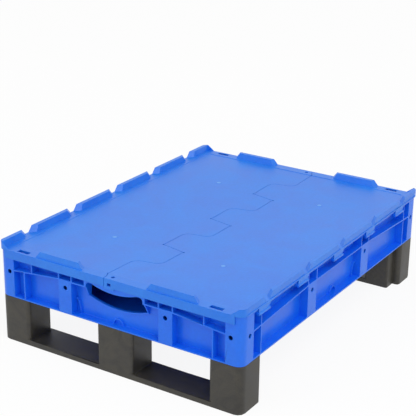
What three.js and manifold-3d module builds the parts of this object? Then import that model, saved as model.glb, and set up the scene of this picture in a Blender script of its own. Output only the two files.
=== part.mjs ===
// Stacking container 800 x 600 mm with a two-part hinged lid, standing on two runners.
// Millimetres, +Z up. The long sides run along X and the hand grips are at the X ends.
// The origin is on the ground, in the middle of the footprint.

import * as THREE from 'three';
import { mergeVertices } from 'three/addons/utils/BufferGeometryUtils.js';
import Module from 'manifold-3d';

const wasm = await Module();
wasm.setup();

// Clearances between pieces
const SEAT_GAP = 0.3;
const PIN_CLEARANCE = 0.35;
const HOOK_GAP = 0.4;
const SEAM_GAP = 1.0;

// How far a cut runs past the surface that it goes through
const OVERSHOOT = 1;

// Container body, heights from its own underside
const BODY_LENGTH = 800;
const BODY_WIDTH = 600;
const BODY_HEIGHT = 104;
const BODY_CORNER = 18;
const RECESS = 19;
const WALL = 3;
const RIM = 4;
const BOTTOM_FLANGE = 3;
const FLOOR_UNDERSIDE = 10;
const FLOOR = 4;
const RIB = 3;
const FLOOR_CELL_LENGTH = 92;
const FLOOR_CELL_WIDTH = 90;
const CAVITY_CORNER = 12;

// Flush columns and ribs of the side walls, from the middle of each face
const MIDDLE_COLUMN = { short: [108, 141], long: [105, 141.5] };
const CORNER_COLUMN_WIDTH = { short: 38.5, long: 41.5 };
const LOWER_RIB_INSET = { short: 28, long: 28.5 };
const UPPER_RIB_INSET = { short: 48.5, long: 28.5 };
const CORNER_COLUMN = {
  short: BODY_WIDTH / 2 - CORNER_COLUMN_WIDTH.short,
  long: BODY_LENGTH / 2 - CORNER_COLUMN_WIDTH.long,
};
const LOWER_RIB = {
  short: CORNER_COLUMN.short - LOWER_RIB_INSET.short,
  long: CORNER_COLUMN.long - LOWER_RIB_INSET.long,
};
const UPPER_RIB = {
  short: CORNER_COLUMN.short - UPPER_RIB_INSET.short,
  long: CORNER_COLUMN.long - UPPER_RIB_INSET.long,
};
const BELT_HEIGHT = 74;
const BELT_HEIGHT_AT_CORNER = 62.5;
const COLUMN_SKIN = 3;
const COLUMN_HOLE = 10;
const COLUMN_HOLE_HEIGHT = 58;
const HOLE_PLACE = {
  short: [124, CORNER_COLUMN.short + 12],
  long: [123, CORNER_COLUMN.long + 14],
};

// Hand grip, a crescent in each short face
const GRIP_TOP_DROP = 28.7;
const GRIP_TOP = BODY_HEIGHT - GRIP_TOP_DROP;
const GRIP_TOP_RADIUS = 165;
const GRIP_BOTTOM = 36;
const GRIP_BOTTOM_RADIUS = 200;
const GRIP_HALF_BOTTOM = 72;
const GRIP_END_RADIUS = 8;
const GRIP_END_DROP = 26.5;
const GRIP_END_CENTRE = [62.5, BODY_HEIGHT - GRIP_END_DROP];
const COLLAR = 3.5;
const COLLAR_FRONT = 4;
const COLLAR_SLOPE_HEIGHTS = [49, BODY_HEIGHT - GRIP_END_DROP];
const GRIP_FRAME = 75.5;

// Small clip features on the recessed centre panels: a hook that curls down from the column,
// as [distance past the column's side, height], and an arc on the bottom flange
const CLIP_HOOK = [[1, 33.5], [-2.5, 35.5], [-6, 33], [-9.5, 26], [-12, 16.5], [-12.5, 2]];
const CLIP_ARC_RADIUS = 13.5;
const CLIP_WIDTH = 2.5;
const CLIP_PROUD = 5;

// Lid halves
const LID_GAP = 1.3;
const LID_THICKNESS = 2.5;
const LID_OVERHANG = 3.1;
const LID_END_OVERHANG = 2.6;
const LID_CORNER = 20;
const FIELD_STEP = 0.9;
const FIELD_BORDER = 24;
const REST_RIB = 2.5;
const REST_RIB_INSET = 14;
const STIFFENER = 2;
const STIFFENER_DEPTH = 5;
const STIFFENER_INSET = 28;
const STIFFENER_EDGE = BODY_WIDTH / 2 - STIFFENER_INSET;
const STIFFENER_X = [-330, -236, -141, -47, 47, 141, 236, 330];
const STIFFENER_Y = BODY_WIDTH / 4;
const SKIRT_THICKNESS = 2.1;
const SKIRT_REACH = 15.5;
const SKIRT_BOTTOM = BODY_HEIGHT - SKIRT_REACH;
const SKIRT_END = BODY_WIDTH / 2 - 17;

// Wavy seam between the halves, from the long middle line
const SEAM_AMPLITUDE = 29;
const SEAM_PERIOD = 188.5;
const SEAM_STEEP_HALF = 6;
const SEAM_BEND_RADIUS = 19;
const SEAM_BEND_ANGLE = 80;
const LATCH_Y = 22.5;
const LATCH_INSET = 8;
const LATCH_X = BODY_LENGTH / 2 - LATCH_INSET;
const LATCH_SLOPE = 13;
const SEAM_HOLE_RADIUS = 2;
const SEAM_HOLE_SHIFT = 1.5;

// Stacking ridges on the lid
const RIDGE_HEIGHT = 13.7;
const RIDGE_GAPS = [-310, -155, 0, 155, 310];
const RIDGE_GAP = 9;
const RIDGE_CHAMFER = 12;
const RIDGE_SKEW = 14;
const RIDGE_TOP = 10;
const RIDGE_SLOPE = 3;
const RIDGE_SET_IN = 1.6;
const RIDGE_SHELL = 2.5;
const RIDGE_END_WALL = 3.5;
const END_RIDGE_INSET = 100;
const END_RIDGE = [79, BODY_WIDTH / 2 - END_RIDGE_INSET];
const END_RIDGE_CHAMFER = 10.5;
const END_RIDGE_SKEW = 6;
const END_RIDGE_SET_IN = 3.3;
const END_RIDGE_LEAN = 1.5;
const GUSSET = 15;

// Slots, seal holes and marks in the lid
const SLOT_LENGTH = 29.5;
const SLOT_WIDTH = 10.3;
const SLOT_INSET = [8, 62.5];
const SLOT_X = BODY_LENGTH / 2 - SLOT_INSET[0];
const SLOT_Y = BODY_WIDTH / 2 - SLOT_INSET[1];
const SEAL_HOLE = [9, 6];
const SEAL_HOLE_Y = 9.9;
const SEAL_HOLE_DROP = 9;
const SEAL_HOLE_HEIGHT = BODY_HEIGHT - SEAL_HOLE_DROP;
const SEAL_TONGUE = { half: 12.5, drop: 3.5 };
const LATCH_HOLE = { radius: 4, inset: 10, y: 8.3 };

// Hinge tabs of the lid and hinge ears of the body
const TAB_REACH = [-36, 2];
const TAB_FLARE = [10, 22];
const TAB_THICKNESS = 2.5;
const TAB_CLEARANCE = 0.3;
const TAB_NECK = 1;
const KNUCKLE_RADIUS = 2.7;
const KNUCKLE_OPENING = 30;
const HINGE_DROP = 10.8;
const HINGE_HEIGHT = BODY_HEIGHT - HINGE_DROP;
const HINGE_PIN_RADIUS = 1.3;
const EAR_THICKNESS = 2.5;
const EAR_DEPTH = 8;
const EAR_ROOT = 0.5;
const EAR_SHOULDER = 1;

// Runners
const RUNNER_HEIGHT = 104;
const RUNNER_BOARD = 12;
const RUNNER_DEPTH = 71;
const REAR_RUNNER_DEPTH = 103;
const REAR_STEP = 16;
const POST_WIDTH = 75;
const MIDDLE_POST_WIDTH = 89;
const RUNNER_CORNER = 17;
const SIDE_POST_EDGE = 9;
const MIDDLE_POST_EDGE = 7;
const POST_BACK_EDGE = 5;
const RUNNER_SHELL = 4;
const POST_TOP = 6;
const BOARD_POCKET = 8;

// Screws that hold the runners
const SCREW_RADIUS = 2.5;
const SCREW_HEAD_RADIUS = 5;
const SCREW_HEAD = 3;
const SCREW_BITE = 9;
const SCREW_CLEARANCE = 0.3;
const SCREW_INSET = [43, 47];
const SCREW_X = BODY_LENGTH / 2 - SCREW_INSET[0];
const SIDE_SCREW_Y = BODY_WIDTH / 2 - SCREW_INSET[1];
const SCREW_PITCH = 26;
const SCREW_POINT = 3;
const DRIVE_RADIUS = 1.6;
const DRIVE_DEPTH = 1.2;
const BOSS_RADIUS = 8;

// Colours, from pale to dark
const BLUE = 0x3f76e0;
const LID_BLUE = 0x5d8fe6;
const DARK_GREY = 0x4a4741;
const ZINC = 0xb9bcc0;

const halfLength = BODY_LENGTH / 2;
const halfWidth = BODY_WIDTH / 2;
const bodyZ = RUNNER_HEIGHT + SEAT_GAP;
const rimUnderside = BODY_HEIGHT - RIM;
const lidUnderside = BODY_HEIGHT + LID_GAP;
const lidTop = lidUnderside + LID_THICKNESS;
const lidHalfLength = halfLength + LID_END_OVERHANG;
const lidHalfWidth = halfWidth + LID_OVERHANG;
const hingeY = lidHalfWidth;
const FAR = BODY_LENGTH;

// Solids from three.js geometries

function solid(geometry) {
  geometry.deleteAttribute('normal');
  geometry.deleteAttribute('uv');
  const merged = mergeVertices(geometry, 1e-4);
  return new wasm.Manifold(new wasm.Mesh({
    numProp: 3,
    vertProperties: new Float32Array(merged.attributes.position.array),
    triVerts: new Uint32Array(merged.index.array),
  }));
}

function box([x0, x1], [y0, y1], [z0, z1]) {
  const geometry = new THREE.BoxGeometry(x1 - x0, y1 - y0, z1 - z0);
  geometry.translate((x0 + x1) / 2, (y0 + y1) / 2, (z0 + z1) / 2);
  return solid(geometry);
}

// An outline of [u, v] points, pushed from w0 to w1. The three directions say where u, v and w point.
function prism(points, w0, w1, directions) {
  const shape = new THREE.Shape(points.map(([u, v]) => new THREE.Vector2(u, v)));
  const geometry = new THREE.ExtrudeGeometry(shape, { depth: w1 - w0, bevelEnabled: false });
  geometry.translate(0, 0, w0);
  geometry.applyMatrix4(new THREE.Matrix4().makeBasis(...directions));
  return solid(geometry);
}

const X = new THREE.Vector3(1, 0, 0);
const Y = new THREE.Vector3(0, 1, 0);
const Z = new THREE.Vector3(0, 0, 1);
const prismAlongX = (pointsYZ, x0, x1) => prism(pointsYZ, x0, x1, [Y, Z, X]);
const prismAlongZ = (pointsXY, z0, z1) => prism(pointsXY, z0, z1, [X, Y, Z]);
function prismAlongY(pointsXZ, y0, y1) {
  return prism(pointsXZ.map(([x, z]) => [z, x]), y0, y1, [Z, X, Y]);
}

function cylinderAlong(axis, radius, centre, from, to, sides) {
  const geometry = new THREE.CylinderGeometry(radius, radius, to - from, sides);
  geometry.translate(0, (from + to) / 2, 0);
  if (axis === 'x') {
    geometry.rotateZ(-Math.PI / 2);
    geometry.translate(0, centre[0], centre[1]);
  } else if (axis === 'y') {
    geometry.translate(centre[0], 0, centre[1]);
  } else {
    geometry.rotateX(Math.PI / 2);
    geometry.translate(centre[0], centre[1], 0);
  }
  return solid(geometry);
}

const union = (parts) => wasm.Manifold.union(parts);
const turned = (part) => part.rotate([0, 0, 180]);
const mirrorPair = (part, normal) => [part, part.mirror(normal)];

function arc([u, v], radius, fromDegrees, toDegrees, steps) {
  return Array.from({ length: steps + 1 }, (_, i) => {
    const angle = THREE.MathUtils.degToRad(fromDegrees + (toDegrees - fromDegrees) * i / steps);
    return [u + radius * Math.cos(angle), v + radius * Math.sin(angle)];
  });
}

function roundedRectangle(halfU, halfV, radius, steps) {
  const u = halfU - radius;
  const v = halfV - radius;
  return [
    ...arc([u, v], radius, 0, 90, steps),
    ...arc([-u, v], radius, 90, 180, steps),
    ...arc([-u, -v], radius, 180, 270, steps),
    ...arc([u, -v], radius, 270, 360, steps),
  ];
}

// Container body

const faces = [
  { name: 'short', half: halfLength, along: 'y' },
  { name: 'long', half: halfWidth, along: 'x' },
];

// An outline of [position along the face, height], pushed inwards from the face
function throughFace(face, points, from, to) {
  if (face.along === 'y') {
    return prismAlongX(points, face.half - to, face.half - from);
  }
  return prismAlongY(points, face.half - to, face.half - from);
}

function beltHeight(face, u) {
  const start = MIDDLE_COLUMN[face.name][1];
  const end = CORNER_COLUMN[face.name];
  const share = THREE.MathUtils.clamp((Math.abs(u) - start) / (end - start), 0, 1);
  return BELT_HEIGHT + share * (BELT_HEIGHT_AT_CORNER - BELT_HEIGHT);
}

// A recess between two ribs, below or above the belt rib
function recess(face, u0, u1, isUpper) {
  const side = isUpper ? RIB / 2 : -RIB / 2;
  const flange = isUpper ? rimUnderside : BOTTOM_FLANGE;
  const belt = [[u1, beltHeight(face, u1) + side], [u0, beltHeight(face, u0) + side]];
  const edge = [[u0, flange], [u1, flange]];
  const outline = isUpper ? [belt[1], belt[0], edge[1], edge[0]] : [...edge, ...belt];
  return throughFace(face, outline, -OVERSHOOT, RECESS);
}

function faceRecesses(face) {
  const half = RIB / 2;
  const [columnStart, columnEnd] = MIDDLE_COLUMN[face.name];
  const corner = CORNER_COLUMN[face.name];
  const lower = LOWER_RIB[face.name];
  const upper = UPPER_RIB[face.name];
  const pieces = [
    recess(face, columnEnd, lower - half, false),
    recess(face, lower + half, corner, false),
    recess(face, columnStart + half, columnEnd - half, true),
    recess(face, columnEnd + half, upper - half, true),
    recess(face, upper + half, corner, true),
  ];
  const middle = [recess(face, -columnStart, columnStart, false)];
  if (face.name === 'short') {
    pieces.push(recess(face, GRIP_FRAME, columnStart - half, true));
  } else {
    middle.push(recess(face, -columnStart + half, columnStart - half, true));
  }
  const mirrorNormal = face.along === 'y' ? [0, 1, 0] : [1, 0, 0];
  return union([...pieces.flatMap((piece) => mirrorPair(piece, mirrorNormal)), ...middle]);
}

// The grip outline, let out by the given margin
function crescent(margin) {
  const top = (u) => {
    const radius = GRIP_TOP_RADIUS - margin;
    return GRIP_TOP + GRIP_TOP_RADIUS - Math.sqrt(radius ** 2 - u ** 2);
  };
  const bottom = (u) => {
    const radius = GRIP_BOTTOM_RADIUS + margin;
    return GRIP_BOTTOM + GRIP_BOTTOM_RADIUS - Math.sqrt(radius ** 2 - u ** 2);
  };
  const halfBottom = GRIP_HALF_BOTTOM + margin;
  const steps = 8;
  const lower = Array.from({ length: steps + 1 }, (_, i) => {
    const u = halfBottom * (2 * i / steps - 1);
    return [u, bottom(u)];
  });
  const rightEnd = arc(GRIP_END_CENTRE, GRIP_END_RADIUS + margin, -5, 95, 5);
  const topHalf = GRIP_END_CENTRE[0] - GRIP_END_RADIUS * 0.8;
  const upper = Array.from({ length: steps + 1 }, (_, i) => {
    const u = topHalf * (1 - 2 * i / steps);
    return [u, top(u)];
  });
  const leftEnd = [...rightEnd].reverse().map(([u, z]) => [-u, z]);
  return [...lower, ...rightEnd, ...upper, ...leftEnd];
}

// The collar round the grip reaches the face at its top and stays near the panel at its bottom
function gripCollar() {
  const panel = halfLength - RECESS;
  const [low, high] = COLLAR_SLOPE_HEIGHTS;
  const side = [
    [panel - WALL / 2, 0],
    [panel + COLLAR_FRONT, 0],
    [panel + COLLAR_FRONT, low],
    [halfLength, high],
    [halfLength, rimUnderside],
    [panel - WALL / 2, rimUnderside],
  ];
  const ring = prismAlongX(crescent(COLLAR), panel - WALL / 2, halfLength);
  return ring.intersect(prismAlongY(side, -GRIP_FRAME, GRIP_FRAME));
}

function gripOpening() {
  return prismAlongX(crescent(0), halfLength - RECESS - WALL - OVERSHOOT, halfLength + OVERSHOOT);
}

// The raised hook and arc on a recessed centre panel
function clipFeatures(face) {
  const columnSide = MIDDLE_COLUMN[face.name][0];
  const path = CLIP_HOOK.map(([u, z]) => [columnSide + u, z]);
  const hook = [
    ...offsetLeft(path, CLIP_WIDTH / 2),
    ...offsetLeft(path, -CLIP_WIDTH / 2).reverse(),
  ];
  const bow = [
    ...arc([0, BOTTOM_FLANGE], CLIP_ARC_RADIUS, 0, 180, 8),
    ...arc([0, BOTTOM_FLANGE], CLIP_ARC_RADIUS - CLIP_WIDTH, 180, 0, 8),
  ];
  return union([hook, bow].map((outline) => (
    throughFace(face, outline, RECESS - CLIP_PROUD, RECESS + WALL / 2)
  )));
}

// Columns are hollow and open at the bottom
function columnHollows(face) {
  const [start, end] = MIDDLE_COLUMN[face.name];
  const top = BELT_HEIGHT - RIB / 2 - COLUMN_SKIN;
  const outline = [
    [start + COLUMN_SKIN, -OVERSHOOT],
    [end - COLUMN_SKIN, -OVERSHOOT],
    [end - COLUMN_SKIN, top],
    [start + COLUMN_SKIN, top],
  ];
  const mirrorNormal = face.along === 'y' ? [0, 1, 0] : [1, 0, 0];
  return union(mirrorPair(throughFace(face, outline, COLUMN_SKIN, RECESS), mirrorNormal));
}

function columnHoles(face) {
  const holes = HOLE_PLACE[face.name].flatMap((place) => [place, -place]).map((place) => {
    const from = face.half - COLUMN_SKIN - OVERSHOOT;
    const to = face.half + OVERSHOOT;
    const axis = face.along === 'y' ? 'x' : 'y';
    return cylinderAlong(axis, COLUMN_HOLE / 2, [place, COLUMN_HOLE_HEIGHT], from, to, 12);
  });
  return union(holes);
}

function cornerHollow() {
  const skin = roundedRectangle(
    halfLength - COLUMN_SKIN, halfWidth - COLUMN_SKIN, BODY_CORNER - COLUMN_SKIN, 3);
  const corner = box(
    [CORNER_COLUMN.long + COLUMN_SKIN, halfLength],
    [CORNER_COLUMN.short + COLUMN_SKIN, halfWidth],
    [-OVERSHOOT, rimUnderside]);
  return prismAlongZ(skin, -OVERSHOOT, rimUnderside).intersect(corner).subtract(tubOutside());
}

function tubOutside() {
  const outline = roundedRectangle(
    halfLength - RECESS, halfWidth - RECESS, CAVITY_CORNER + WALL, 3);
  return prismAlongZ(outline, -2 * OVERSHOOT, BODY_HEIGHT);
}

function cavity() {
  const outline = roundedRectangle(
    halfLength - RECESS - WALL, halfWidth - RECESS - WALL, CAVITY_CORNER, 3);
  return prismAlongZ(outline, FLOOR_UNDERSIDE + FLOOR, BODY_HEIGHT + OVERSHOOT);
}

const screwPlaces = [-1, 1].flatMap((end) => [-SIDE_SCREW_Y, 0, SIDE_SCREW_Y].flatMap((postY) => (
  [-1, 1].map((side) => [end * SCREW_X, postY + side * SCREW_PITCH / 2])
)));

// The floor's underside is a grid of cells, with bosses for the runner screws
function floorCells() {
  const panelX = halfLength - RECESS - WALL;
  const panelY = halfWidth - RECESS - WALL;
  const columns = Math.round(2 * panelX / FLOOR_CELL_LENGTH);
  const rows = Math.round(2 * panelY / FLOOR_CELL_WIDTH);
  const pitchX = (2 * panelX + RIB) / columns;
  const pitchY = (2 * panelY + RIB) / rows;
  const cells = [];
  for (let i = 0; i < columns; i += 1) {
    for (let j = 0; j < rows; j += 1) {
      const x = -panelX + i * pitchX;
      const y = -panelY + j * pitchY;
      const heights = [-OVERSHOOT, FLOOR_UNDERSIDE];
      cells.push(box([x, x + pitchX - RIB], [y, y + pitchY - RIB], heights));
    }
  }
  const bosses = screwPlaces.map((place) => (
    cylinderAlong('z', BOSS_RADIUS, place, -2 * OVERSHOOT, FLOOR_UNDERSIDE, 12)
  ));
  return union(cells).subtract(union(bosses));
}

function screwPilots() {
  return union(screwPlaces.map((place) => (
    cylinderAlong('z', SCREW_RADIUS + SCREW_CLEARANCE, place,
      -OVERSHOOT, SCREW_BITE + OVERSHOOT, 10)
  )));
}

// Strap slots through the rim, under the slots of the lid
function rimSlot(x, y, zRange) {
  return box(
    [x - SLOT_WIDTH / 2, x + SLOT_WIDTH / 2],
    [y - SLOT_LENGTH / 2, y + SLOT_LENGTH / 2],
    zRange);
}

const slotPlaces = [-1, 1].flatMap((sx) => [-1, 1].map((sy) => [sx * SLOT_X, sy * SLOT_Y]));

// Hinge ears hang under the rim and hold a moulded pin, here along the -Y side
function hingeBar(gapX) {
  const start = gapX + TAB_REACH[0] - HOOK_GAP;
  const end = gapX + TAB_REACH[1] + HOOK_GAP;
  const earOutline = [
    [-halfWidth + EAR_DEPTH, rimUnderside + EAR_ROOT],
    [-halfWidth + HOOK_GAP, rimUnderside + EAR_ROOT],
    [-halfWidth + HOOK_GAP, HINGE_HEIGHT + KNUCKLE_RADIUS + EAR_SHOULDER],
    ...arc([-hingeY, HINGE_HEIGHT], KNUCKLE_RADIUS, 80, 280, 6),
    [-halfWidth + EAR_DEPTH, HINGE_HEIGHT + KNUCKLE_RADIUS],
  ];
  return union([
    prismAlongX(earOutline, start - EAR_THICKNESS, start),
    prismAlongX(earOutline, end, end + EAR_THICKNESS),
    cylinderAlong('x', HINGE_PIN_RADIUS, [-hingeY, HINGE_HEIGHT],
      start - EAR_THICKNESS / 2, end + EAR_THICKNESS / 2, 10),
  ]);
}

function buildBody() {
  const outline = roundedRectangle(halfLength, halfWidth, BODY_CORNER, 4);
  const cuts = faces.flatMap((face) => [faceRecesses(face), columnHollows(face), columnHoles(face)])
    .flatMap((cut) => [cut, turned(cut)]);
  const hollow = cornerHollow();
  const hollows = mirrorPair(hollow, [1, 0, 0]).flatMap((part) => mirrorPair(part, [0, 1, 0]));
  const additions = faces.flatMap((face) => mirrorPair(
    clipFeatures(face), face.along === 'y' ? [1, 0, 0] : [0, 1, 0]));
  const slotHeights = [rimUnderside - OVERSHOOT, BODY_HEIGHT + OVERSHOOT];
  const slots = slotPlaces.map(([x, y]) => rimSlot(x, y, slotHeights));
  const hinges = union(RIDGE_GAPS.map(hingeBar));
  const shell = prismAlongZ(outline, 0, BODY_HEIGHT)
    .subtract(union([...cuts, ...hollows]))
    .add(union([...additions, ...mirrorPair(gripCollar(), [1, 0, 0])]));
  const openings = [...mirrorPair(gripOpening(), [1, 0, 0]), sealHole(), turned(sealHole())];
  return shell
    .subtract(union([cavity(), floorCells(), screwPilots(), ...openings, ...slots]))
    .add(union([hinges, turned(hinges)]));
}

// Lid

// The seam from end to end. Steep crossings rise and rounded crossings fall, by turns.
function seamPath() {
  const path = [[-FAR, LATCH_Y], [-LATCH_X, LATCH_Y], [-LATCH_X + LATCH_SLOPE, SEAM_AMPLITUDE]];
  const bend = SEAM_BEND_RADIUS;
  const angle = THREE.MathUtils.degToRad(SEAM_BEND_ANGLE);
  const straight = 2 * (SEAM_AMPLITUDE - bend * (1 - Math.cos(angle))) / Math.tan(angle);
  const reach = bend * Math.sin(angle) + straight / 2;
  const firstBend = -1.5 * SEAM_PERIOD;
  for (let k = 0; k < 4; k += 1) {
    const middle = firstBend + k * SEAM_PERIOD;
    const top = [middle - reach, SEAM_AMPLITUDE - bend];
    const bottom = [middle + reach, -SEAM_AMPLITUDE + bend];
    path.push(...arc(top, bend, 90, 90 - SEAM_BEND_ANGLE, 5));
    path.push(...arc(bottom, bend, 270 - SEAM_BEND_ANGLE, 270, 5));
    if (k < 3) {
      const steep = middle + SEAM_PERIOD / 2;
      path.push([steep - SEAM_STEEP_HALF, -SEAM_AMPLITUDE]);
      path.push([steep + SEAM_STEEP_HALF, SEAM_AMPLITUDE]);
    }
  }
  path.push([LATCH_X - LATCH_SLOPE, -SEAM_AMPLITUDE], [LATCH_X, -LATCH_Y], [FAR, -LATCH_Y]);
  return path;
}

// Moves a path to its left by a distance, with mitred corners
function offsetLeft(path, distance) {
  return path.map(([x, y], i) => {
    const before = path[Math.max(i - 1, 0)];
    const after = path[Math.min(i + 1, path.length - 1)];
    const incoming = new THREE.Vector2(x - before[0], y - before[1]);
    const outgoing = new THREE.Vector2(after[0] - x, after[1] - y);
    if (incoming.length() === 0) incoming.copy(outgoing);
    if (outgoing.length() === 0) outgoing.copy(incoming);
    incoming.normalize();
    outgoing.normalize();
    const tangent = incoming.clone().add(outgoing).normalize();
    const stretch = distance / tangent.dot(incoming);
    return [x - tangent.y * stretch, y + tangent.x * stretch];
  });
}

const ridgeRoot = lidTop - LID_THICKNESS / 2;
const ridgeTop = lidTop + RIDGE_HEIGHT;

// Section of a ridge, as [distance across the edge, height], with the outer edge of its top at
// the place given. The outer face leans out by the given amount down to its foot.
function ridgeSection(outer, lean) {
  return [
    [outer - RIDGE_TOP - RIDGE_SLOPE, ridgeRoot],
    [outer + lean, ridgeRoot],
    [outer + lean, lidTop],
    [outer, ridgeTop],
    [outer - RIDGE_TOP, ridgeTop],
    [outer - RIDGE_TOP - RIDGE_SLOPE, lidTop],
  ];
}

function ridgeHollowSection(outer, lean) {
  return [
    [outer - RIDGE_TOP - RIDGE_SLOPE + RIDGE_SHELL + OVERSHOOT, lidUnderside - OVERSHOOT],
    [outer + lean - RIDGE_SHELL, lidUnderside - OVERSHOOT],
    [outer - RIDGE_SHELL, ridgeTop - RIDGE_SHELL],
    [outer - RIDGE_TOP + RIDGE_SHELL, ridgeTop - RIDGE_SHELL],
  ];
}

// Everything on the inner side of one end of a ridge. The end is flat, leans back up to the top of
// the ridge, and is cut back across to the ridge's inner face. The sign is 1 at the start of the
// ridge and -1 at its end, and the sweep makes a sheared prism.
function ridgeEnd(sweep, outer, place, sign, chamfer, skew, [z0, z1, zTop]) {
  const width = RIDGE_TOP + RIDGE_SLOPE;
  const foot = place + sign * skew * outer / width;
  const outline = [
    [foot, z0],
    [foot, z1],
    [foot + sign * chamfer, zTop],
    [foot + sign * FAR, zTop],
    [foot + sign * FAR, z0],
  ];
  const reach = [outer - width - RIDGE_SHELL, outer + RIDGE_SHELL];
  return sweep(outline, ...reach, -sign * skew / width);
}

const shearedAlongY = (pointsXZ, y0, y1, shear) => prism(
  pointsXZ.map(([x, z]) => [z, x]), y0, y1, [Z, X, new THREE.Vector3(shear, 1, 0)]);
const shearedAlongX = (pointsYZ, x0, x1, shear) => prism(
  pointsYZ, x0, x1, [Y, Z, new THREE.Vector3(1, shear, 0)]);

function cutToSpan(shape, sweep, outer, { span, chamfers, skews }) {
  const heights = [ridgeRoot, lidTop, ridgeTop];
  return shape
    .intersect(ridgeEnd(sweep, outer, span[0], 1, chamfers[0], skews[0], heights))
    .intersect(ridgeEnd(sweep, outer, span[1], -1, chamfers[1], skews[1], heights));
}

function cutHollowToSpan(shape, sweep, outer, { span, chamfers, skews, insets }) {
  const low = lidUnderside - OVERSHOOT;
  const heights = [low - OVERSHOOT, low, ridgeTop];
  const start = span[0] + insets[0];
  const end = span[1] - insets[1];
  return shape
    .intersect(ridgeEnd(sweep, outer, start, 1, chamfers[0], skews[0], heights))
    .intersect(ridgeEnd(sweep, outer, end, -1, chamfers[1], skews[1], heights));
}

// The ridges along the +Y edge, between the hinge gaps. At a corner a ridge ends square.
const edgeRidges = [...RIDGE_GAPS, null].map((gap, i) => {
  const isFirst = i === 0;
  const isLast = gap === null;
  return {
    span: [
      isFirst ? -lidHalfLength : RIDGE_GAPS[i - 1] + RIDGE_GAP / 2,
      isLast ? lidHalfLength : gap - RIDGE_GAP / 2,
    ],
    chamfers: [isFirst ? 0 : RIDGE_CHAMFER, isLast ? 0 : RIDGE_CHAMFER],
    skews: [isFirst ? 0 : RIDGE_SKEW, isLast ? 0 : RIDGE_SKEW],
    insets: [isFirst ? LID_CORNER : RIDGE_END_WALL, isLast ? LID_CORNER : RIDGE_END_WALL],
  };
});
const edgeRidgeFace = lidHalfWidth - RIDGE_SET_IN;
const endRidgeFace = lidHalfLength - END_RIDGE_SET_IN - END_RIDGE_LEAN;
const endRidgeEnds = {
  span: END_RIDGE,
  chamfers: [END_RIDGE_CHAMFER, END_RIDGE_CHAMFER],
  skews: [END_RIDGE_SKEW, END_RIDGE_SKEW],
  insets: [RIDGE_END_WALL, RIDGE_END_WALL],
};

function edgeRidge(ends) {
  const ridge = prismAlongX(ridgeSection(edgeRidgeFace, 0), -FAR, FAR);
  return cutToSpan(ridge, shearedAlongY, edgeRidgeFace, ends);
}

function edgeRidgeHollow(ends) {
  const hollow = prismAlongX(ridgeHollowSection(edgeRidgeFace, 0), -FAR, FAR);
  return cutHollowToSpan(hollow, shearedAlongY, edgeRidgeFace, ends);
}

// One ridge across the +X end
function endRidge() {
  const ridge = prismAlongY(ridgeSection(endRidgeFace, END_RIDGE_LEAN), 0, FAR);
  return cutToSpan(ridge, shearedAlongX, endRidgeFace, endRidgeEnds);
}

function endRidgeHollow() {
  const hollow = prismAlongY(ridgeHollowSection(endRidgeFace, END_RIDGE_LEAN), 0, FAR);
  return cutHollowToSpan(hollow, shearedAlongX, endRidgeFace, endRidgeEnds);
}

// A thin web closes each corner ridge along the short side
function cornerGusset() {
  const inner = edgeRidgeFace - RIDGE_TOP - RIDGE_SLOPE;
  const outline = [
    [inner - GUSSET, ridgeRoot],
    [inner + OVERSHOOT, ridgeRoot],
    [inner + OVERSHOOT + RIDGE_SLOPE, ridgeTop],
    [inner + RIDGE_SLOPE, ridgeTop],
    [inner - GUSSET, lidTop],
  ];
  return prismAlongX(outline, lidHalfLength - RIDGE_SHELL, lidHalfLength);
}

// Tab with a knuckle that clips over the pin, here on the +Y side at the gap given
function hingeTab(gapX) {
  const knuckle = [
    ...arc([hingeY, HINGE_HEIGHT], KNUCKLE_RADIUS, KNUCKLE_OPENING - 90, 270 - KNUCKLE_OPENING, 10),
    ...arc([hingeY, HINGE_HEIGHT], HINGE_PIN_RADIUS + PIN_CLEARANCE,
      270 - KNUCKLE_OPENING, KNUCKLE_OPENING - 90, 10),
  ];
  const start = gapX - TAB_REACH[1];
  const end = gapX - TAB_REACH[0];
  const low = HINGE_HEIGHT + HINGE_PIN_RADIUS + PIN_CLEARANCE + TAB_CLEARANCE;
  const flareStart = HINGE_HEIGHT + KNUCKLE_RADIUS + TAB_NECK;
  const plate = [
    [start, low],
    [end, low],
    [end, ridgeRoot],
    [gapX - TAB_FLARE[1], ridgeRoot],
    [gapX - TAB_FLARE[1], BODY_HEIGHT],
    [gapX - TAB_FLARE[0], BODY_HEIGHT],
    [start, flareStart],
  ];
  return union([
    prismAlongX(knuckle, start, end),
    prismAlongY(plate, lidHalfWidth - TAB_THICKNESS, lidHalfWidth),
  ]);
}

// The skirt reaches a little lower round the seal hole
function endSkirt() {
  const thickness = [lidHalfLength - SKIRT_THICKNESS, lidHalfLength];
  const tongueWidth = [-SEAL_HOLE_Y - SEAL_TONGUE.half, -SEAL_HOLE_Y + SEAL_TONGUE.half];
  return union([
    box(thickness, [-SKIRT_END, SKIRT_END], [SKIRT_BOTTOM, ridgeRoot]),
    box(thickness, tongueWidth, [SKIRT_BOTTOM - SEAL_TONGUE.drop, SKIRT_BOTTOM + OVERSHOOT]),
  ]);
}

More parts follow.
